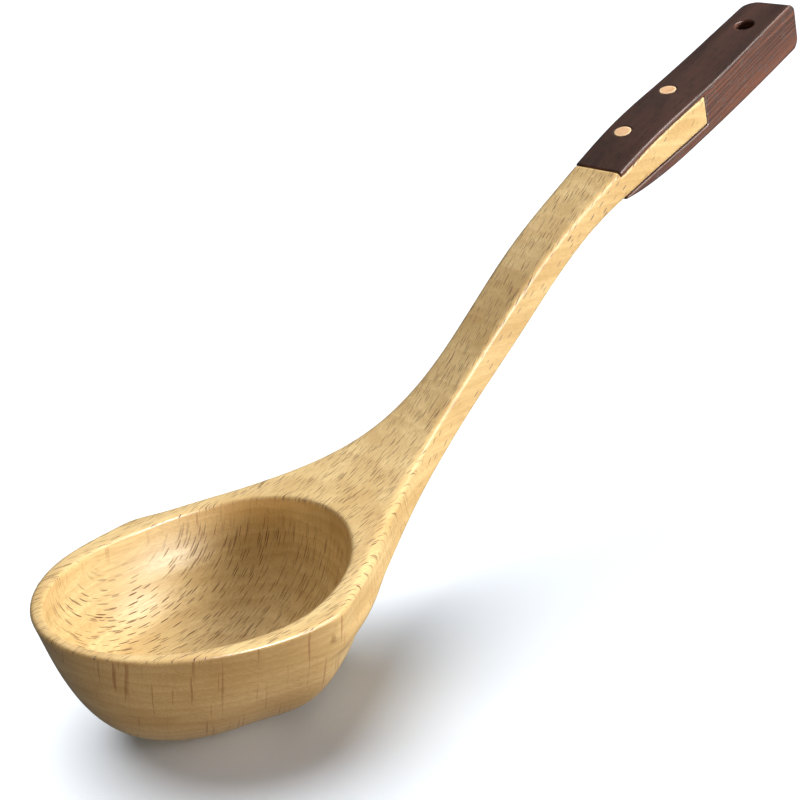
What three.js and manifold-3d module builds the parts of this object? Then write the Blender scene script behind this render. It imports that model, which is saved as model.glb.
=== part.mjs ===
// Carved wooden ladle with a forked dark wood grip.
//
// Frame: millimetres, +Z up. The origin is the centre of the flat foot under the bowl, +X runs
// along the handle, and +Y is the side that the two pins are nearer to.

import * as THREE from 'three';
import { mergeVertices } from 'three/addons/utils/BufferGeometryUtils.js';
import Module from 'manifold-3d';

const wasm = await Module();
wasm.setup();

// ---------------------------------------------------------------- driving dimensions

const RIM_HEIGHT = 39;            // rim above the foot
const BOWL_HALF_WIDTH = 42.1;     // widest place of the rim, at x = 0
const BOWL_FRONT = 56.2;          // reach of the rim in front of the widest place
const BOWL_BACK = 46;             // where the bowl's back wall ends, under the neck
const FOOT_FRONT = 22.7;          // the foot is a flat oval
const FOOT_BACK = 22;
const FOOT_HALF_WIDTH = 13.4;
const TOE_FRONT = 42.8;           // where the straight wall would meet the floor
const TOE_BACK = 42;
const TOE_HALF_WIDTH = 25.2;
const UPRIGHT_TOE_HALF_WIDTH = 34.6; // towards the neck, where the sides stand more upright
const UPRIGHT_FROM = -0.35;       // the flared sides turn upright between these two places,
const UPRIGHT_TO = 0.3;           // counted along the bowl: -1 is its front, 0 its widest place
const TOE_ROUNDING = 0.77;        // share of the wall's height that the rounded toe takes

const CAVITY_X = -7.6;            // centre of the hollow
const CAVITY_HALF_LENGTH = 45.1;
const CAVITY_HALF_WIDTH = 35;
const CAVITY_DEPTH = 32;
const CAVITY_FULLNESS = 2.15;     // exponent of the hollow's section, 2 is an ellipse

// The handle's upper line: distance along X, height above the foot.
const TOP_LINE = [
  [-60, 39], [-28, 39], [0, 39], [27, 42.8], [52, 48], [77, 57.6], [102, 74.2], [132, 97.6],
  [162, 114.9], [192, 129.7], [222, 141], [252, 153], [276, 162.8],
];
// Half-width of the neck and handle.
const HALF_WIDTH = [
  [-8, 42.1], [0, 42.1], [4, 41.4], [10, 38.9], [25, 31.7], [45, 21.7], [65, 13.3], [90, 8],
  [120, 7.6], [160, 8.7], [200, 9.7], [250, 9.2], [276, 8.8],
];
// Depth of the beech underside, square to the upper line.
const STEM_DEPTH = [
  [0, 9], [10, 12.5], [24, 13.6], [38, 13.2], [50, 12.4], [65, 11.4], [95, 10.9], [112, 11.5],
  [126, 11.2], [140, 10.2], [152, 9.4], [163, 9.7], [178, 11.3], [189, 12.3], [207, 13.1], [218.5, 13.2],
];
// Depth of the grip's underside, square to the upper line.
const GRIP_DEPTH = [
  [171, 11.5], [175, 12.9], [187, 15.7], [197, 16.8], [217, 17.1], [254, 18.1], [276, 18.4],
];

const GRIP_FRONT = 171;           // front edge of the grip on the upper line
const GRIP_END = 276;
const UPPER_PRONG = 2.2;          // thickness of the grip above the tongue
const TONGUE_END = 218.5;
const FAR_CORNER = 6;             // plan rounding of the grip's end on the pins' side
const NEAR_CORNER = 0.6;
const END_CROWN = [[277, 0.6], [278.2, 1.8], [279, 4]]; // the end face bulges: [place, trim]
const JOINT_GAP = 0.3;            // glue line between the woods

const PIN_X = [189.3, 216];
const PIN_Y = 3.1;
const PIN_RADIUS = 2.85;
const HANG_X = 260.5;
const HANG_Y = 0.3;
const HANG_RADIUS = 3.5;

const STEM_EDGE = 1.6;            // eased edges
const NECK_EDGE = 3;              // softer beside the bowl
const GRIP_EDGE = 1.0;

// ---------------------------------------------------------------- curves

// Natural cubic spline through [x, value] pairs.
function spline(points) {
  const n = points.length;
  const x = points.map((p) => p[0]);
  const v = points.map((p) => p[1]);
  const second = new Array(n).fill(0);
  const work = new Array(n).fill(0);
  for (let i = 1; i < n - 1; i++) {
    const share = (x[i] - x[i - 1]) / (x[i + 1] - x[i - 1]);
    const pivot = share * second[i - 1] + 2;
    second[i] = (share - 1) / pivot;
    const bend = (v[i + 1] - v[i]) / (x[i + 1] - x[i]) - (v[i] - v[i - 1]) / (x[i] - x[i - 1]);
    work[i] = ((6 * bend) / (x[i + 1] - x[i - 1]) - share * work[i - 1]) / pivot;
  }
  for (let i = n - 2; i >= 0; i--) second[i] = second[i] * second[i + 1] + work[i];
  return (at) => {
    let i = 0;
    while (i < n - 2 && at > x[i + 1]) i++;
    const h = x[i + 1] - x[i];
    const a = (x[i + 1] - at) / h;
    const b = (at - x[i]) / h;
    const curve = (a * a * a - a) * second[i] + (b * b * b - b) * second[i + 1];
    return a * v[i] + b * v[i + 1] + (curve * h * h) / 6;
  };
}

const topLine = spline(TOP_LINE);
const halfWidth = spline(HALF_WIDTH);
const stemDepth = spline(STEM_DEPTH);
const gripDepth = spline(GRIP_DEPTH);

// Point at a depth below the upper line, measured square to it.
function below(s, depth) {
  const slope = topLine(s + 0.5) - topLine(s - 0.5);
  const length = Math.hypot(1, slope);
  return [s + (depth * slope) / length, topLine(s) - depth / length];
}

// Turn that stands an upright solid square to the upper line.
function leanAt(s) {
  return -Math.atan(topLine(s + 0.5) - topLine(s - 0.5));
}

// ---------------------------------------------------------------- solids

// Closed solid through sections that all have the same number of points.
function loft(sections) {
  const count = sections[0].length;
  const positions = [];
  const index = [];
  for (const section of sections) for (const point of section) positions.push(...point);
  const capCentre = (section) => {
    const centre = [0, 0, 0];
    for (const point of section) for (let k = 0; k < 3; k++) centre[k] += point[k] / count;
    positions.push(...centre);
    return positions.length / 3 - 1;
  };
  for (let i = 0; i < sections.length - 1; i++) {
    for (let j = 0; j < count; j++) {
      const a = i * count + j;
      const b = i * count + ((j + 1) % count);
      index.push(a, b, b + count, a, b + count, a + count);
    }
  }
  const first = capCentre(sections[0]);
  const last = capCentre(sections[sections.length - 1]);
  const tail = (sections.length - 1) * count;
  for (let j = 0; j < count; j++) {
    index.push(first, (j + 1) % count, j);
    index.push(last, tail + j, tail + ((j + 1) % count));
  }
  const geometry = new THREE.BufferGeometry();
  geometry.setAttribute('position', new THREE.Float32BufferAttribute(positions, 3));
  geometry.setIndex(index);
  return toSolid(geometry);
}

function toSolid(geometry) {
  const bare = geometry.clone();
  bare.deleteAttribute('normal');
  bare.deleteAttribute('uv');
  const merged = mergeVertices(bare);
  return new wasm.Manifold(new wasm.Mesh({
    numProp: 3,
    vertProperties: new Float32Array(merged.attributes.position.array),
    triVerts: new Uint32Array(merged.index.array),
  }));
}

function toGeometry(solid) {
  const mesh = solid.getMesh();
  const geometry = new THREE.BufferGeometry();
  geometry.setAttribute('position', new THREE.BufferAttribute(mesh.vertProperties, 3));
  geometry.setIndex(new THREE.BufferAttribute(mesh.triVerts, 1));
  geometry.computeVertexNormals();
  return geometry;
}

// Upright cylinder moved to the upper line and stood square to it.
function pegSolid(s, y, radius, above, under, sides) {
  const geometry = new THREE.CylinderGeometry(radius, radius, above + under, sides);
  geometry.rotateX(Math.PI / 2);
  geometry.translate(0, 0, (above - under) / 2);
  geometry.rotateY(leanAt(s));
  geometry.translate(s, y, topLine(s));
  return toSolid(geometry);
}

// Section of the neck, handle or grip: an oblong with eased edges, square to the upper line.
function oblong(s, topDepth, bottomDepth, left, right, edge) {
  const height = bottomDepth - topDepth;
  const e = Math.min(edge, height * 0.45, (left - right) * 0.3);
  const corners = [
    [right, topDepth + e], [right + e * 0.3, topDepth + e * 0.3], [right + e, topDepth],
    [left - e, topDepth], [left - e * 0.3, topDepth + e * 0.3], [left, topDepth + e],
    [left, bottomDepth - e], [left - e * 0.3, bottomDepth - e * 0.3], [left - e, bottomDepth],
    [right + e, bottomDepth], [right + e * 0.3, bottomDepth - e * 0.3], [right, bottomDepth - e],
  ];
  return corners.reverse().map(([y, depth]) => {
    const [x, z] = below(s, depth);
    return [x, y, z];
  });
}

function steps(from, to, count) {
  return Array.from({ length: count + 1 }, (_, i) => from + ((to - from) * i) / count);
}

// ---------------------------------------------------------------- bowl

// Outline at one height: a half ellipse in front, and the neck's own width closing in behind.
// The half-width goes from side, in front, to upright, towards the neck.
function bowlOutline(front, side, back, upright, segments) {
  const outline = [];
  for (let i = 0; i < segments; i++) {
    const angle = (2 * Math.PI * i) / segments;
    const c = Math.cos(angle);
    const s = Math.sin(angle);
    const share = Math.min(1, Math.max(0, (c - UPRIGHT_FROM) / (UPRIGHT_TO - UPRIGHT_FROM)));
    const blend = share * share * (3 - 2 * share);
    const reach = side + (upright - side) * blend;
    if (c <= 0) {
      outline.push([front * c, reach * s]);
    } else {
      const along = c * BOWL_BACK;
      const width = (halfWidth(along) * Math.sqrt(1 - Math.pow(c, 5))) / BOWL_HALF_WIDTH;
      outline.push([back * c, reach * width * Math.sign(s)]);
    }
  }
  return outline;
}

function bowlOutside(segments, ringCount) {
  const sections = [];
  const toe = (foot, corner, rim, t) => {
    const wall = corner + (rim - corner) * TOE_ROUNDING;
    return (1 - t) * (1 - t) * foot + 2 * t * (1 - t) * corner + t * t * wall;
  };
  const ring = (front, side, back, upright, z) =>
    sections.push(bowlOutline(front, side, back, upright, segments).map(([x, y]) => [x, y, z]));
  for (const t of steps(0, 1, ringCount)) {
    ring(
      toe(FOOT_FRONT, TOE_FRONT, BOWL_FRONT, t),
      toe(FOOT_HALF_WIDTH, TOE_HALF_WIDTH, BOWL_HALF_WIDTH, t),
      toe(FOOT_BACK, TOE_BACK, BOWL_BACK, t),
      toe(FOOT_HALF_WIDTH, UPRIGHT_TOE_HALF_WIDTH, BOWL_HALF_WIDTH, t),
      toe(0, 0, RIM_HEIGHT, t),
    );
  }
  const wall = (toe, rim, drop) => rim - ((rim - toe) * drop) / RIM_HEIGHT;
  for (const [drop, ease, neckEase] of [[2.5, 0, 0.1], [0.8, 0.1, 1.2], [0, 0.9, NECK_EDGE]]) {
    ring(wall(TOE_FRONT, BOWL_FRONT, drop) - ease,
      wall(TOE_HALF_WIDTH, BOWL_HALF_WIDTH, drop) - ease,
      wall(TOE_BACK, BOWL_BACK, drop) - neckEase,
      wall(UPRIGHT_TOE_HALF_WIDTH, BOWL_HALF_WIDTH, drop) - neckEase, RIM_HEIGHT - drop);
  }
  return loft(sections);
}

// The hollow, carried straight up past the neck's rising face.
function cavity(segments, ringCount) {
  const sections = [];
  for (const t of steps(0.06, 1, ringCount)) {
    const angle = (t * Math.PI) / 2;
    const share = Math.pow(Math.sin(angle), 2 / CAVITY_FULLNESS);
    const depth = CAVITY_DEPTH * Math.pow(Math.cos(angle), 2 / CAVITY_FULLNESS);
    sections.push([share, RIM_HEIGHT - depth]);
  }
  sections.push([1, RIM_HEIGHT + 15]);
  return loft(sections.map(([share, z]) =>
    Array.from({ length: segments }, (_, i) => {
      const angle = (2 * Math.PI * i) / segments;
      return [
        CAVITY_X + CAVITY_HALF_LENGTH * share * Math.cos(angle),
        CAVITY_HALF_WIDTH * share * Math.sin(angle),
        z,
      ];
    })));
}

// ---------------------------------------------------------------- spoon body

// The neck's eased edge: widest where the neck leaves the bowl.
const neckEdge = spline([
  [0, NECK_EDGE - 0.8], [15, NECK_EDGE], [35, NECK_EDGE - 0.2], [90, STEM_EDGE], [180, STEM_EDGE],
]);

const neckAndStem = loft([
  ...steps(1, 61, 12), ...steps(67, GRIP_FRONT - JOINT_GAP, 15),
].map((s) => oblong(s, 0, stemDepth(s), halfWidth(s), -halfWidth(s), neckEdge(s))));

const tongue = loft(steps(GRIP_FRONT - 6, TONGUE_END - JOINT_GAP, 8).map((s) =>
  oblong(s, UPPER_PRONG + JOINT_GAP / 2, stemDepth(s), halfWidth(s), -halfWidth(s), 0.35)));

let spoonBody = bowlOutside(64, 9).add(neckAndStem).add(tongue).subtract(cavity(64, 12));

// ---------------------------------------------------------------- forked grip

// Plan rounding at the grip's end: how far a side draws in at s.
function drawIn(s, radius) {
  const into = s - (GRIP_END - radius);
  return into > 0 ? radius - Math.sqrt(Math.max(0, radius * radius - into * into)) : 0;
}

const gripStations = [
  ...steps(GRIP_FRONT, 261, 16), ...steps(265, GRIP_END - FAR_CORNER, 2),
  ...[0.35, 0.62, 0.82, 0.95, 1].map((t) => GRIP_END - FAR_CORNER * (1 - t)),
];
const gripBlank = loft(gripStations.map((s) => oblong(
  s, 0, gripDepth(s),
  halfWidth(s) - drawIn(s, FAR_CORNER), -halfWidth(s) + drawIn(s, NEAR_CORNER), GRIP_EDGE,
)).concat(END_CROWN.map(([s, trim]) => oblong(
  s, trim, gripDepth(GRIP_END) - trim,
  halfWidth(GRIP_END) - FAR_CORNER - trim / 3, -halfWidth(GRIP_END) + NEAR_CORNER, GRIP_EDGE,
))));

const slot = loft(steps(GRIP_FRONT - 6, TONGUE_END, 8).map((s) =>
  oblong(s, UPPER_PRONG - JOINT_GAP / 2, stemDepth(s) + JOINT_GAP, 14, -14, 0.2)));

let grip = gripBlank.subtract(slot)
  .subtract(pegSolid(HANG_X, HANG_Y, HANG_RADIUS, 6, 26, 24));

// ---------------------------------------------------------------- pins

const pins = PIN_X.map((s) => {
  const bore = pegSolid(s, PIN_Y, PIN_RADIUS + JOINT_GAP, 6, 26, 24);
  spoonBody = spoonBody.subtract(bore);
  grip = grip.subtract(bore);
  return pegSolid(s, PIN_Y, PIN_RADIUS, 0, gripDepth(s), 24);
});

// ---------------------------------------------------------------- scene graph

function piece(name, solid, colour, roughness) {
  const material = new THREE.MeshStandardMaterial({ color: colour, roughness, metalness: 0 });
  const mesh = new THREE.Mesh(toGeometry(solid), material);
  mesh.name = name;
  return mesh;
}

const ladle = new THREE.Group();
ladle.add(
  piece('spoon_body', spoonBody, '#cfa878', 0.5),
  piece('forked_grip', grip, '#46332f', 0.42),
  piece('front_pin', pins[0], '#e9c8a0', 0.5),
  piece('rear_pin', pins[1], '#e9c8a0', 0.5),
);

export default ladle;
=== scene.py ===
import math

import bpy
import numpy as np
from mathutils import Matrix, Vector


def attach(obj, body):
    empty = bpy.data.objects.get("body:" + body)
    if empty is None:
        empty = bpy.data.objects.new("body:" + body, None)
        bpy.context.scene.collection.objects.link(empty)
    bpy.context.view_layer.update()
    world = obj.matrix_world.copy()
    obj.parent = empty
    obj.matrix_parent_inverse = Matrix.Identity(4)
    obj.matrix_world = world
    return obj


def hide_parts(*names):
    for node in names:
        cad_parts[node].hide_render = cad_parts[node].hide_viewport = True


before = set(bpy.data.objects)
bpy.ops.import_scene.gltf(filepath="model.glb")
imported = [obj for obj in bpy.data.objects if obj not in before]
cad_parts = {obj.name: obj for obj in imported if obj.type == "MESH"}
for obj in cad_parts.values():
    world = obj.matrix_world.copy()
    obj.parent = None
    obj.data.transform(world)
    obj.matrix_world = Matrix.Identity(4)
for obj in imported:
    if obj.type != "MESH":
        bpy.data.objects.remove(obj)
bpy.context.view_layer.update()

# Looks of a carved ladle: oiled beech body, forked grip of dark hardwood, two beech pins.
# Lengths are in millimetres, in the frame of the CAD part, and become metres in the meshes.
# Every piece follows the handle's upper line, so a place is given by (s, y, d): the station
# along X, the distance to the side, and the depth below that line, square to it.

MM = 0.001

# Each light reaches only the objects in one of these groups. The grip is in ladle and in shiny.
ladle = bpy.data.collections.new("ladle")
paper = bpy.data.collections.new("paper")
shiny = bpy.data.collections.new("shiny")
for group in (ladle, paper):
    bpy.context.scene.collection.children.link(group)

# ---------------------------------------------------------------- dimensions

RIM_HEIGHT = 39.0
BOWL_HALF_WIDTH = 42.1
BOWL_FRONT, BOWL_BACK = 56.2, 46.0
FOOT_FRONT, FOOT_BACK, FOOT_HALF_WIDTH = 22.7, 22.0, 13.4
TOE_FRONT, TOE_BACK, TOE_HALF_WIDTH = 42.8, 42.0, 25.2
UPRIGHT_TOE_HALF_WIDTH = 34.6
UPRIGHT_FROM, UPRIGHT_TO = -0.35, 0.3
TOE_ROUNDING = 0.77

CAVITY_X, CAVITY_HALF_LENGTH, CAVITY_HALF_WIDTH = -7.6, 45.1, 35.0
CAVITY_DEPTH, CAVITY_FULLNESS = 32.0, 2.15

TOP_LINE = [
    (-60, 39), (-28, 39), (0, 39), (27, 42.8), (52, 48), (77, 57.6), (102, 74.2), (132, 97.6),
    (162, 114.9), (192, 129.7), (222, 141), (252, 153), (276, 162.8),
]
HALF_WIDTH = [
    (-8, 42.1), (0, 42.1), (4, 41.4), (10, 38.9), (25, 31.7), (45, 21.7), (65, 13.3), (90, 8),
    (120, 7.6), (160, 8.7), (200, 9.7), (250, 9.2), (276, 8.8),
]
STEM_DEPTH = [
    (0, 9), (10, 12.5), (24, 13.6), (38, 13.2), (50, 12.4), (65, 11.4), (95, 10.9), (112, 11.5),
    (126, 11.2), (140, 10.2), (152, 9.4), (163, 9.7), (178, 11.3), (189, 12.3), (207, 13.1),
    (218.5, 13.2),
]
GRIP_DEPTH = [
    (171, 11.5), (175, 12.9), (187, 15.7), (197, 16.8), (217, 17.1), (254, 18.1), (276, 18.4),
]
GRIP_FRONT, GRIP_END, GRIP_TIP = 171.0, 276.0, 279.0
UPPER_PRONG = 2.2
TONGUE_END = 218.5
GLUE_LINE = 0.16
CROWN_DEPTH = 4.0           # the grip's end curves back over this depth above and below
FAR_CORNER, NEAR_CORNER = 6.0, 0.6

PIN_X, PIN_Y, PIN_RADIUS = (189.3, 216.0), 3.1, 2.92
PIN_SIDES, PIN_BANDS = 64, 8
PIN_CLEARANCE = 0.1
HANG_X, HANG_Y, HANG_RADIUS = 260.5, 0.3, 3.5
SMALLEST_SLOPE = 0.004      # keeps a shape's level from blowing up where it is flat


# ---------------------------------------------------------------- curves

def spline(points):
    """Natural cubic spline through (x, value) pairs."""
    x, v = np.array(points, float).T
    n, h = len(x), np.diff(x)
    system, bend = np.eye(n), np.zeros(n)
    for i in range(1, n - 1):
        system[i, i - 1:i + 2] = h[i - 1], 2 * (h[i - 1] + h[i]), h[i]
        bend[i] = 6 * ((v[i + 1] - v[i]) / h[i] - (v[i] - v[i - 1]) / h[i - 1])
    second = np.linalg.solve(system, bend)

    def at(s):
        i = np.clip(np.searchsorted(x, s) - 1, 0, n - 2)
        a, b = (x[i + 1] - s) / h[i], (s - x[i]) / h[i]
        curve = (a ** 3 - a) * second[i] + (b ** 3 - b) * second[i + 1]
        return a * v[i] + b * v[i + 1] + curve * h[i] ** 2 / 6

    return at


top_line, half_width = spline(TOP_LINE), spline(HALF_WIDTH)
stem_depth, grip_depth = spline(STEM_DEPTH), spline(GRIP_DEPTH)


def top_slope(s):
    return top_line(s + 0.5) - top_line(s - 0.5)


def place(s, y, d):
    """Point in x, y, z of a place given along, beside and below the upper line."""
    slope = top_slope(s)
    length = np.hypot(1, slope)
    return s + d * slope / length, y, top_line(s) - d / length


def ramp(x, start, end):
    """Smooth step from 0 at start to 1 at end."""
    t = np.clip((x - start) / (end - start), 0, 1)
    return t * t * (3 - 2 * t)


# ---------------------------------------------------------------- shapes as signed distances

def both(a, b, r):
    """Where both shapes are, with the edge between them rounded to radius r."""
    return np.minimum(-r, np.maximum(a, b)) + np.hypot(np.maximum(r + a, 0), np.maximum(r + b, 0))


def either(a, b, r):
    """Where either shape is, with a fillet of radius r between them."""
    return np.maximum(r, np.minimum(a, b)) - np.hypot(np.maximum(r - a, 0), np.maximum(r - b, 0))


def distance(shape, x, y, z):
    """Near its surface, turns a shape's level into a distance."""
    e = 0.05
    level = shape(x, y, z)
    slope = np.sqrt(sum(
        ((shape(x + e * i, y + e * j, z + e * k) - level) / e) ** 2
        for i, j, k in ((1, 0, 0), (0, 1, 0), (0, 0, 1))))
    return level / np.maximum(slope, SMALLEST_SLOPE)


def bowl_wall(x, y, z):
    """Outside of the bowl: a wall leaning out from a rounded toe over a flat oval foot."""
    t = np.sqrt(np.clip(z / (RIM_HEIGHT * TOE_ROUNDING), 0, 1))

    def reach(foot, toe, rim):
        low = (1 - t) ** 2 * foot + 2 * t * (1 - t) * toe
        low = low + t * t * (toe + (rim - toe) * TOE_ROUNDING)
        return np.where(t < 1, low, toe + (rim - toe) * z / RIM_HEIGHT)

    along = np.where(x < 0, x / reach(FOOT_FRONT, TOE_FRONT, BOWL_FRONT),
                     x / reach(FOOT_BACK, TOE_BACK, BOWL_BACK))
    flared = reach(FOOT_HALF_WIDTH, TOE_HALF_WIDTH, BOWL_HALF_WIDTH)
    upright = reach(FOOT_HALF_WIDTH, UPRIGHT_TOE_HALF_WIDTH, BOWL_HALF_WIDTH)
    side = flared + (upright - flared) * ramp(along, UPRIGHT_FROM, UPRIGHT_TO)
    closing = half_width(np.clip(along, 0, 1.3) * BOWL_BACK) / BOWL_HALF_WIDTH
    front = along ** 2 + (y / side) ** 2
    back = np.abs(along) ** 5 + (y / (side * closing)) ** 2
    return np.where(along < 0, front, back) - 1


def hollow(x, y, z):
    across = np.hypot((x - CAVITY_X) / CAVITY_HALF_LENGTH, y / CAVITY_HALF_WIDTH)
    down = np.maximum(RIM_HEIGHT - z, 0) / CAVITY_DEPTH
    return across ** CAVITY_FULLNESS + down ** CAVITY_FULLNESS - 1


def bore(s, y, station, beside, radius):
    """Round hole square to the upper line."""
    stretch = math.hypot(1, top_slope(station))
    return np.hypot((s - station) * stretch, y - beside) - radius


# Rounding of the long edges of the neck and handle, by station.
neck_edge = spline([(0, 1.6), (12, 3.0), (35, 2.8), (90, 1.6), (220, 1.5)])


def spoon_body(s, y, d):
    """Bowl and neck joined by a fillet, then hollowed, stepped for the grip and drilled."""
    x, _, z = place(s, y, d)
    wall = distance(bowl_wall, x, y, z)
    wall = both(wall, -z, 0.8)
    lean = 0.2 * (1 - ramp(s, 0, 30))    # the neck narrows downwards beside the bowl
    side = np.abs(y) - half_width(s) + lean * d
    neck = both(side, d - stem_depth(s), np.clip(neck_edge(s), 1.5, 3))
    neck = both(neck, 0.5 - s, 0.5)
    shape = either(wall, neck, 0.01 + 7 * ramp(d, 7, 16))
    edge = 1.1 + (np.clip(neck_edge(s), 1.5, 3) - 1.1) * ramp(s, -25, 12)
    shape = both(shape, -d, edge)
    shape = both(shape, -distance(hollow, x, y, z), 0.7)
    shoulder = np.maximum(GRIP_FRONT - GLUE_LINE - s, d - UPPER_PRONG - GLUE_LINE / 2)
    shape = both(shape, -shoulder, 0.15)
    shape = both(shape, s - TONGUE_END + GLUE_LINE, 0.2)
    for station in PIN_X:
        shape = np.maximum(shape, -bore(s, y, station, PIN_Y, PIN_RADIUS + PIN_CLEARANCE))
    return shape


def forked_grip(s, y, d):
    """Bar with a bulging end, one rounded corner, a slot for the tongue and three holes."""
    deep = grip_depth(s)
    shape = both(np.abs(y) - half_width(s), d - deep, 1.1)
    shape = both(shape, -d, 0.8)
    crown = np.clip(1 - np.minimum(d, deep - d) / CROWN_DEPTH, 0, 1.2) ** 2
    end = s - (GRIP_TIP - (GRIP_TIP - GRIP_END) * crown)
    corner = both(np.where(y > 0, y - half_width(s), -20), end, FAR_CORNER)
    shape = both(both(shape, end, NEAR_CORNER), corner, 0.6)
    shape = both(shape, GRIP_FRONT - s, 0.25)
    slot = np.maximum(
        np.maximum(UPPER_PRONG - GLUE_LINE / 2 - d, d - stem_depth(np.minimum(s, TONGUE_END))),
        s - TONGUE_END)
    shape = both(shape, -slot, 0.12)
    shape = both(shape, -bore(s, y, HANG_X, HANG_Y, HANG_RADIUS), 0.2)
    for station in PIN_X:
        shape = np.maximum(shape, -bore(s, y, station, PIN_Y, PIN_RADIUS + PIN_CLEARANCE))
    return shape


# ---------------------------------------------------------------- meshes

def net(level, start, step):
    """Quads round the places where a grid of levels changes sign, one corner in each such cell."""
    cells = np.array(level.shape) - 1
    total, count = np.zeros((cells.prod(), 3)), np.zeros(cells.prod())
    quads = []
    for axis in range(3):
        u, v = (axis + 1) % 3, (axis + 2) % 3
        low = np.take(level, range(level.shape[axis] - 1), axis)
        high = np.take(level, range(1, level.shape[axis]), axis)
        edges = np.argwhere((low < 0) != (high < 0))
        inside_low = low[tuple(edges.T)] < 0
        share = low[tuple(edges.T)] / (low[tuple(edges.T)] - high[tuple(edges.T)])
        points = edges.astype(float)
        points[:, axis] += share
        ring = []
        for du, dv in ((-1, -1), (0, -1), (0, 0), (-1, 0)):
            cell = edges.copy()
            cell[:, u] += du
            cell[:, v] += dv
            ring.append(np.ravel_multi_index(cell.T, cells, mode="clip"))
            for k in range(3):
                total[:, k] += np.bincount(ring[-1], points[:, k], len(count))
            count += np.bincount(ring[-1], minlength=len(count))
        ring = np.stack(ring, 1)
        quads.append(np.where(inside_low[:, None], ring, ring[:, ::-1]))
    used = np.flatnonzero(count)
    number = np.zeros(len(count), int)
    number[used] = np.arange(len(used))
    places = total[used] / count[used][:, None] * step + start
    return places, number[np.concatenate(quads)]


def settle(shape, points, rounds):
    """Moves points onto the shape's surface."""
    e = 0.02
    for _ in range(rounds):
        s, y, d = points.T
        level = shape(s, y, d)
        slope = np.stack([
            (shape(s + e, y, d) - shape(s - e, y, d)) / (2 * e),
            (shape(s, y + e, d) - shape(s, y - e, d)) / (2 * e),
            (shape(s, y, d + e) - shape(s, y, d - e)) / (2 * e)], 1)
        move = -level[:, None] * slope / np.maximum((slope ** 2).sum(1), 0.1)[:, None]
        points = points + np.clip(move, -0.4, 0.4)
    return points


def even_out(points, quads):
    """Moves each point halfway to the middle of its neighbours."""
    total, count = np.zeros_like(points), np.zeros(len(points))
    for turn in (1, 3):
        other = np.roll(quads, turn, 1)
        for k in range(3):
            total[:, k] += np.bincount(quads.ravel(), points[other.ravel(), k], len(points))
        count += np.bincount(quads.ravel(), minlength=len(points))
    return points / 2 + total / count[:, None] / 2


def make_piece(name, points, faces, node, material):
    """Smooth-shaded piece that rides on the one body and stands for a CAD node."""
    mesh = bpy.data.meshes.new(name)
    mesh.from_pydata((np.asarray(points) * MM).tolist(), [], [list(f) for f in faces])
    mesh.validate()
    mesh.shade_smooth()
    mesh.materials.append(material)
    piece = bpy.data.objects.new(name, mesh)
    ladle.objects.link(piece)
    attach(piece, "root")
    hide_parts(node)
    return piece


def carve(name, shape, low, high, step, node, material):
    """Mesh of a shape between two corners of (s, y, d)."""
    low, high, step = np.array(low, float), np.array(high, float), np.array(step, float)
    axes = [np.arange(a, b + c, c) for a, b, c in zip(low, high, step)]
    slabs = np.array_split(axes[0], 12)
    level = np.concatenate([
        shape(*np.meshgrid(slab, axes[1], axes[2], indexing="ij")) for slab in slabs])
    points, quads = net(level, low, step)
    for _ in range(3):
        points = settle(shape, even_out(points, quads), 1)
    points = settle(shape, points, 3)
    corners = np.stack(place(*points.T), 1)
    return make_piece(name, corners, quads[:, ::-1].tolist(), node, material)


def turned_pin(name, station, node, material):
    """Round pin, flush with the grip and just eased round its ends."""
    outline = [(0.0, 0.0), (0.4, 0.0), (0.7, 0.0), (0.88, 0.0), (0.95, 0.03), (0.99, 0.1), (1.0, 0.25)]
    depth = float(grip_depth(station))
    levels = [(radius * PIN_RADIUS, down) for radius, down in outline]
    levels += [(PIN_RADIUS, depth * k / PIN_BANDS) for k in range(1, PIN_BANDS)]
    levels += [(radius * PIN_RADIUS, depth - down) for radius, down in reversed(outline)]
    stretch = math.hypot(1, top_slope(station))
    points, share = [], []
    for radius, down in levels:
        for k in range(PIN_SIDES):
            turn = 2 * math.pi * k / PIN_SIDES
            points.append(place(station + radius * math.cos(turn) / stretch,
                                PIN_Y + radius * math.sin(turn), down))
            share.append(radius / PIN_RADIUS)
    faces = []
    for i in range(len(levels) - 1):
        for k in range(PIN_SIDES):
            a, b = i * PIN_SIDES + k, i * PIN_SIDES + (k + 1) % PIN_SIDES
            faces.append((a, a + PIN_SIDES, b + PIN_SIDES, b))
    piece = make_piece(name, points, faces, node, material)
    ring = piece.data.attributes.new("from_middle", "FLOAT", "POINT")
    ring.data.foreach_set("value", share[:len(piece.data.vertices)])
    return piece


# ---------------------------------------------------------------- shader nodes

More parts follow.
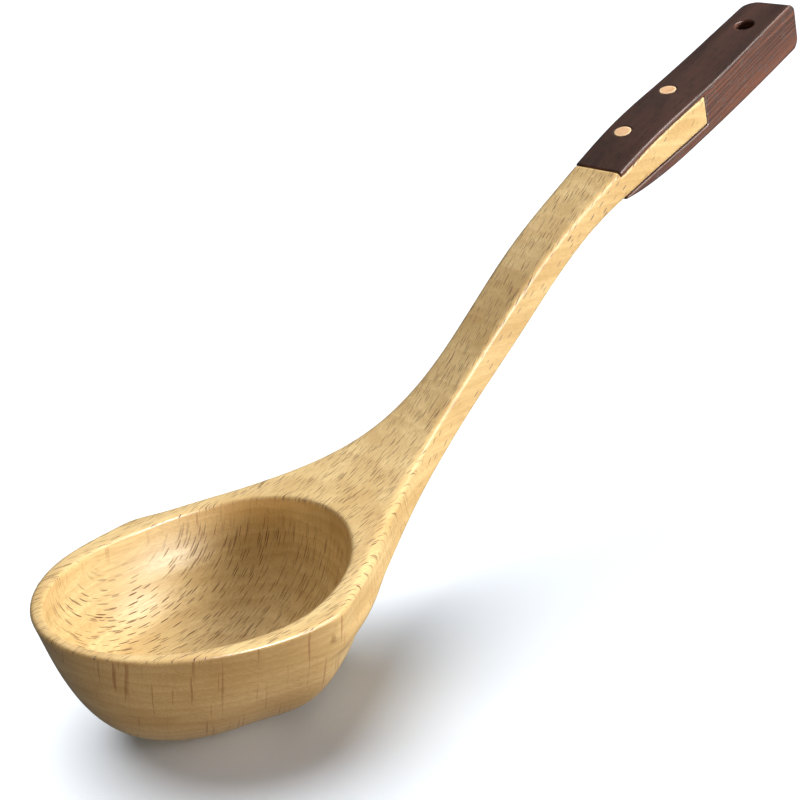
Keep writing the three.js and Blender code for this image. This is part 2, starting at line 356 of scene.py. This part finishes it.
class Shader:
    """Short way to write a material's nodes. Lengths in its coordinates are millimetres."""

    def __init__(self, name):
        self.material = bpy.data.materials.new(name)
        self.material.use_nodes = True
        self.tree = self.material.node_tree
        self.surface = self.tree.nodes["Principled BSDF"]
        where = self.node("ShaderNodeTexCoord").outputs["Object"]
        self.place = self.moved(where, scale=(1 / MM,) * 3)

    def node(self, kind, inputs=(), **settings):
        made = self.tree.nodes.new(kind)
        for key, value in settings.items():
            setattr(made, key, value)
        for key, value in dict(inputs).items():
            self.feed(made.inputs[key], value)
        return made

    def feed(self, socket, value):
        if isinstance(value, bpy.types.NodeSocket):
            self.tree.links.new(value, socket)
        else:
            socket.default_value = value

    def moved(self, vector, scale=(1, 1, 1), turn=(0, 0, 0), shift=(0, 0, 0)):
        return self.node("ShaderNodeMapping", {
            "Vector": vector, "Location": shift, "Rotation": turn, "Scale": scale,
        }).outputs["Vector"]

    def grained(self, vector, size, shift=(0, 0, 0)):
        """Coordinates that count in steps of the given size along each axis."""
        return self.moved(vector, scale=tuple(1 / k for k in size), shift=shift)

    def math(self, operation, *values, clamp=False):
        return self.node("ShaderNodeMath", dict(enumerate(values)), operation=operation,
                         use_clamp=clamp).outputs[0]

    def vector(self, operation, *values):
        return self.node("ShaderNodeVectorMath", dict(enumerate(values)),
                         operation=operation).outputs[0]

    def noise(self, vector, detail=2.0, roughness=0.5, output="Fac"):
        return self.node("ShaderNodeTexNoise", {
            "Vector": vector, "Scale": 1.0, "Detail": detail, "Roughness": roughness,
        }).outputs[output]

    def shaken(self, vector, size, amount):
        """Coordinates moved about by noise: size is the noise's, amount is the move along each axis."""
        noise = self.noise(self.grained(vector, size), 1.0, output="Color")
        centred = self.vector("SUBTRACT", noise, (0.5, 0.5, 0.5))
        return self.vector("ADD", vector, self.vector("MULTIPLY", centred, amount))

    def step(self, value, low, high, at_low=0.0, at_high=1.0):
        return self.node("ShaderNodeMapRange", {
            "Value": value, "From Min": low, "From Max": high, "To Min": at_low, "To Max": at_high,
        }, interpolation_type="SMOOTHSTEP").outputs["Result"]

    def cells(self, vector):
        return self.node("ShaderNodeTexVoronoi", {"Vector": vector, "Scale": 1.0}).outputs["Distance"]

    def flecks(self, vector, size, fill, kept, shift=(0, 0, 0)):
        """Scattered lens-shaped marks, up to 1 inside a mark and 0 elsewhere.

        There is one place for a mark in each cell of the given size. fill is a mark's radius as a
        share of its cell, and kept is the share of the places that have one.
        """
        voronoi = self.node("ShaderNodeTexVoronoi", {
            "Vector": self.grained(vector, size, shift), "Scale": 1.0, "Randomness": 1.0})
        chance = self.node("ShaderNodeSeparateColor", {"Color": voronoi.outputs["Color"]})
        mark = self.step(voronoi.outputs["Distance"], fill, fill * 0.7)
        keep = self.math("LESS_THAN", chance.outputs[0], kept)
        strength = self.math("MULTIPLY_ADD", chance.outputs[1], 0.6, 0.4)
        return self.math("MULTIPLY", self.math("MULTIPLY", mark, keep), strength)

    def mix(self, share, a, b):
        made = self.node("ShaderNodeMix", data_type="RGBA")
        for index, value in ((0, share), (6, a), (7, b)):
            if isinstance(value, tuple):
                value = (*value, 1.0)
            self.feed(made.inputs[index], value)
        return made.outputs[2]

    def facing(self):
        """The surface's direction in x, y and z."""
        normal = self.node("ShaderNodeTexCoord").outputs["Normal"]
        return self.node("ShaderNodeSeparateXYZ", {"Vector": normal}).outputs

    def bump(self, height, distance):
        return self.node("ShaderNodeBump", {
            "Height": height, "Distance": distance * MM, "Strength": 1.0}).outputs["Normal"]

    def finish(self, **inputs):
        for key, value in inputs.items():
            if isinstance(value, tuple):
                value = (*value, 1.0)
            self.feed(self.surface.inputs[key.replace("_", " ")], value)
        return self.material


def colour(red, green, blue):
    """Linear colour from 0 to 255 values as seen on a screen."""
    return tuple((c / 255 / 12.92) if c < 10.3 else ((c / 255 + 0.055) / 1.055) ** 2.4
                 for c in (red, green, blue))


# ---------------------------------------------------------------- materials

GRAIN_DRIFT = -0.0006       # sideways bend of the grain along the handle, per millimetre squared
LAYER_BOW = 0.004           # growth layers curve up towards the sides, per millimetre squared
LAYER_THICKNESS = 3.4
UNEVENNESS = 7.0            # how far the growth layers wander up and down


def growth_layers(m, wavy):
    """Late wood: each layer darkens slowly upwards and ends sharply."""
    apart = m.node("ShaderNodeSeparateXYZ", {"Vector": wavy})
    bow = m.math("MULTIPLY", apart.outputs["Y"], apart.outputs["Y"])
    layer = m.math("MULTIPLY_ADD", bow, LAYER_BOW, apart.outputs["Z"])
    uneven = m.noise(m.grained(m.place, (50, 24, 6)), 2.0)
    height = m.math("MULTIPLY_ADD", uneven, UNEVENNESS, layer)
    turn = m.math("FRACT", m.math("DIVIDE", height, LAYER_THICKNESS))
    return m.math("MULTIPLY", m.step(turn, 0.0, 0.8), m.step(turn, 1.0, 0.84))


def ray_dashes(m, wavy, facing, upward, on_stem):
    """Rays cut through: dashes along the grain on the faces above, steep ones on the handle's sides."""
    rays = m.flecks(wavy, (9.0, 0.46, 14), 0.27, 1.0)
    more_rays = m.flecks(wavy, (7.0, 0.42, 11), 0.27, 1.0, shift=(7, 3, 5))
    fleck = m.math("MULTIPLY", m.math("MAXIMUM", rays, more_rays), upward)

    wall_rays = m.flecks(wavy, (12, 0.5, 60), 0.26, 0.8, shift=(2, 9, 1))
    wall_share = m.math("MULTIPLY_ADD", upward, 0.05, 0.15)
    fleck = m.math("MAXIMUM", fleck, m.math("MULTIPLY", wall_rays, wall_share))

    # The rays widen into blots where a face lies along them, so they fade there.
    across = m.step(m.math("ABSOLUTE", facing["Y"]), 1.0, 0.88)
    fleck = m.math("MULTIPLY", fleck, m.math("MULTIPLY_ADD", across, 0.85, 0.15))
    fleck = m.math("MULTIPLY", fleck, m.step(facing["X"], 0.35, 0.75, 1.0, 0.6))

    steep = m.moved(wavy, turn=(0, 0.7, 0))
    side_rays = m.flecks(steep, (6.0, 20, 1.3), 0.27, 0.65, shift=(3, 1, 6))
    beside = m.math("SUBTRACT", 1.0, across)
    side_rays = m.math("MULTIPLY", m.math("MULTIPLY", side_rays, beside), on_stem)
    return m.math("MAXIMUM", fleck, m.math("MULTIPLY", side_rays, 0.95), clamp=True)


def wall_lines(m, beside, upward, on_stem):
    """Thin reddish lines down the bowl's outside, slanting back towards its foot."""
    outward = m.math("MULTIPLY", m.math("ABSOLUTE", beside), 0.8)
    sideways = m.node("ShaderNodeCombineXYZ", {"X": outward}).outputs["Vector"]
    bent = m.shaken(m.vector("ADD", m.place, sideways), (12, 12, 16), (1.6, 0, 0))
    lines = m.step(m.noise(m.grained(bent, (0.85, 60, 22)), 1.0), 0.63, 0.72)
    on_wall = m.math("SUBTRACT", m.math("SUBTRACT", 1.0, upward), on_stem, clamp=True)
    return m.math("MULTIPLY", lines, on_wall)


def beech():
    """Plank grain along X: ray sheets stand upright along the grain and growth layers lie flat."""
    m = Shader("oiled beech")
    straight = m.node("ShaderNodeSeparateXYZ", {"Vector": m.place}).outputs
    ahead = m.math("MAXIMUM", straight["X"], 0.0)
    drift = m.math("MULTIPLY", m.math("MULTIPLY", ahead, ahead), GRAIN_DRIFT)
    leaning = m.node("ShaderNodeCombineXYZ", {"Y": drift}).outputs["Vector"]
    wavy = m.vector("ADD", m.shaken(m.place, (26, 7, 30), (0, 1.0, 2.0)), leaning)
    broad = m.noise(m.grained(wavy, (70, 14, 8)), 3.0)
    fibre = m.noise(m.grained(wavy, (9, 0.4, 0.5)), 3.0, 0.65)

    facing = m.facing()
    upward = m.step(facing["Z"], -0.1, 0.25)
    on_stem = m.step(straight["X"], 30.0, 60.0)
    ring = growth_layers(m, wavy)
    fleck = ray_dashes(m, wavy, facing, upward, on_stem)
    lines = wall_lines(m, straight["Y"], upward, on_stem)

    tint = m.mix(m.step(broad, 0.3, 0.7), colour(218, 195, 143), colour(198, 171, 118))
    tint = m.mix(m.math("MULTIPLY", ring, 0.18), tint, colour(158, 110, 62))
    tint = m.mix(m.math("MULTIPLY", m.step(fibre, 0.35, 0.7), 0.32), tint, colour(160, 118, 68))
    tint = m.mix(m.math("MULTIPLY", lines, 0.5), tint, colour(136, 74, 38))
    tint = m.mix(m.math("MULTIPLY", fleck, 0.95), tint, colour(84, 46, 16))

    height = m.math("ADD", m.math("MULTIPLY", fleck, -1.0), m.math("MULTIPLY", fibre, 0.35))
    rough = m.math("MULTIPLY_ADD", fibre, 0.14, 0.3)
    rough = m.math("MULTIPLY_ADD", fleck, 0.18, rough)
    return m.finish(Base_Color=tint, Roughness=rough, Normal=m.bump(height, 0.08),
                    Specular_IOR_Level=0.45)


def dark_wood():
    """Straight dark grain along the grip, with lighter grain stripes drawn much stronger on its sides
    as painted light.
    """
    m = Shader("dark hardwood")
    lie = math.atan2(float(top_line(GRIP_END) - top_line(GRIP_FRONT)), GRIP_END - GRIP_FRONT)
    along = m.moved(m.place, turn=(0, lie, 0))
    along = m.shaken(along, (45, 6, 6), (0, 1.0, 1.4))
    broad = m.noise(m.grained(along, (70, 6, 3.0)), 3.0, 0.6)
    fibre = m.noise(m.grained(along, (14, 0.5, 0.5)), 4.0, 0.65)
    bands = m.noise(m.grained(along, (120, 9, 0.9)), 2.0, 0.6)
    pores = m.flecks(along, (5.0, 0.42, 0.42), 0.4, 0.55)

    tint = m.mix(m.step(broad, 0.3, 0.72), colour(64, 43, 37), colour(52, 34, 29))
    # Painted light: the stripes are drawn far stronger on the side faces than on the top, so the sides
    # look lit.
    side = m.step(m.facing()["Z"], 0.7, 0.2)
    stripe_and_side_light = m.math("MULTIPLY", m.step(bands, 0.36, 0.62), m.math("MULTIPLY_ADD", side, 0.65, 0.15))
    tint = m.mix(stripe_and_side_light, tint, colour(116, 72, 54))
    tint = m.mix(m.math("MULTIPLY", m.step(fibre, 0.4, 0.75), 0.5), tint, colour(36, 22, 19))
    tint = m.mix(m.math("MULTIPLY", pores, 0.85), tint, colour(22, 13, 11))

    height = m.math("ADD", m.math("MULTIPLY", pores, -1.0), m.math("MULTIPLY", fibre, 0.5))
    rough = m.math("MULTIPLY_ADD", fibre, 0.16, 0.3)
    rough = m.math("MULTIPLY_ADD", pores, 0.2, rough)
    return m.finish(Base_Color=tint, Roughness=rough, Normal=m.bump(height, 0.04))


def pin_wood():
    """End grain of a small beech dowel, paler towards its rim."""
    m = Shader("beech pin")
    middle = m.node("ShaderNodeAttribute", attribute_name="from_middle").outputs["Fac"]
    specks = m.cells(m.grained(m.place, (0.35, 0.35, 0.35)))
    cloud = m.noise(m.grained(m.place, (2.5, 2.5, 2.5)), 2.0)
    tint = m.mix(m.step(cloud, 0.3, 0.7), colour(216, 176, 134), colour(200, 156, 114))
    tint = m.mix(m.math("MULTIPLY", m.step(specks, 0.35, 0.1), 0.3), tint, colour(150, 104, 66))
    tint = m.mix(m.math("MULTIPLY", m.step(middle, 0.7, 0.88), 0.7), tint, colour(232, 204, 166))
    rough = m.math("MULTIPLY_ADD", cloud, 0.2, 0.36)
    return m.finish(Base_Color=tint, Roughness=rough, Normal=m.bump(specks, 0.03))


# ---------------------------------------------------------------- camera, floor and light

def camera():
    """Looks at the ladle from beside the bowl's front, a little above it."""
    turn, lift, roll, away = math.radians(41.169), math.radians(21.24), math.radians(0.17), 474.2
    back = Vector((-math.cos(turn) * math.cos(lift), -math.sin(turn) * math.cos(lift), math.sin(lift)))
    right = Vector((math.sin(turn), -math.cos(turn), 0))
    up = back.cross(right)
    right, up = (right * math.cos(roll) + up * math.sin(roll),
                 up * math.cos(roll) - right * math.sin(roll))
    aim = Vector((72.74, 0, 66.39))
    data = bpy.data.cameras.new("camera")
    data.lens, data.sensor_width = 71.82, 36
    data.clip_start, data.clip_end = 0.01, 50
    seat = bpy.data.objects.new("camera", data)
    rotation = Matrix((right, up, back)).transposed().to_4x4()
    seat.matrix_world = Matrix.Translation((aim + back * away) * MM) @ rotation
    bpy.context.scene.collection.objects.link(seat)
    bpy.context.scene.camera = seat


def floor():
    """Pale paper under the ladle."""
    m = Shader("pale paper")
    tone = m.noise(m.grained(m.place, (400, 400, 400)), 1.0)
    material = m.finish(Base_Color=m.mix(tone, (0.82, 0.87, 0.95), (0.84, 0.89, 0.96)),
                        Roughness=0.9, Specular_IOR_Level=0.1)
    mesh = bpy.data.meshes.new("floor")
    reach = 6.0    # metres
    mesh.from_pydata([(-reach, -reach, 0), (reach, -reach, 0), (reach, reach, 0), (-reach, reach, 0)],
                     [], [(0, 1, 2, 3)])
    mesh.materials.append(material)
    sheet = bpy.data.objects.new("floor", mesh)
    sheet.location.z = -0.1 * MM
    # The paper neither lights the ladle nor shows in its gloss.
    sheet.visible_diffuse = sheet.visible_glossy = False
    paper.objects.link(sheet)


def softbox(name, place_at, aim, size, power, tint):
    data = bpy.data.lights.new(name, "AREA")
    data.shape = "RECTANGLE"
    data.size, data.size_y = size
    data.energy, data.color = power, tint
    box = bpy.data.objects.new(name, data)
    box.location = place_at
    box.rotation_euler = (Vector(aim) - Vector(place_at)).to_track_quat("-Z", "Y").to_euler()
    bpy.context.scene.collection.objects.link(box)
    return box


def lighting():
    """Softboxes on the near side, broad light from above and behind, and a dim pale room."""
    world = bpy.data.worlds.new("studio")
    world.use_nodes = True
    world.node_tree.nodes["Background"].inputs["Color"].default_value = (0.98, 0.98, 1.0, 1)
    world.node_tree.nodes["Background"].inputs["Strength"].default_value = 0.15
    bpy.context.scene.world = world

    # A softbox either lights the wood or shows in its gloss, never both.
    middle = Vector((0.08, 0.0, 0.06))
    warm, white, cool = (1.0, 0.74, 0.48), (1.0, 0.99, 0.96), (0.93, 0.97, 1.0)
    for name, place_at, size, power, tint, glossy, lit in (
            ("key", (0.66, -0.76, 0.68), (0.45, 0.45), 25, white, False, ladle),
            ("edge gloss", (0.56, -0.81, 0.69), (0.45, 0.45), 12, white, True, ladle),
            ("grip gloss", (0.56, -0.81, 0.69), (0.45, 0.45), 14, white, True, shiny),
            ("hollow gloss", (0.04, -1.0, 0.12), (0.5, 0.3), 46, white, True, ladle),
            ("bounce", (-0.35, -1.1, 0.0), (0.6, 0.25), 7.5, warm, False, ladle)):
        box = softbox(name, middle + Vector(place_at), middle, size, power, tint)
        box.visible_diffuse, box.visible_glossy = not glossy, glossy
        box.light_linking.receiver_collection = lit

    # Lamps as broad as the sky or a part of it, spread giving their width in degrees.
    for name, strength, way, spread, tint, lit in (
            ("above", 2.15, (-0.38, -0.38, -0.85), 62, white, ladle),
            ("fill", 0.4, (0, 0, -1), 170, warm, ladle),
            ("over paper", 4.4, (0, -0.5, -0.85), 62, white, paper),
            ("paper fill", 0.4, (0, 0, -1), 170, cool, paper)):
        lamp = bpy.data.objects.new(name, bpy.data.lights.new(name, "SUN"))
        lamp.data.energy, lamp.data.color = strength, tint
        lamp.data.angle = math.radians(spread)
        lamp.rotation_euler = Vector(way).to_track_quat("-Z", "Y").to_euler()
        lamp.visible_glossy = False
        lamp.light_linking.receiver_collection = lit
        bpy.context.scene.collection.objects.link(lamp)


# ---------------------------------------------------------------- the ladle

camera()
carve("ladle_body", spoon_body, low=(-58, -44.1, -0.75), high=(219.5, 44.1, 42),
      step=(1.0, 0.74, 0.66), node="spoon_body", material=beech())
grip = carve("grip", forked_grip, low=(170.2, -11, -0.6), high=(280, 11, 20.5),
             step=(0.5, 0.4, 0.4), node="forked_grip", material=dark_wood())
shiny.objects.link(grip)
pin_finish = pin_wood()
turned_pin("pin_front", PIN_X[0], "front_pin", pin_finish)
turned_pin("pin_rear", PIN_X[1], "rear_pin", pin_finish)
floor()
lighting()
bpy.context.scene.view_settings.view_transform = "Standard"
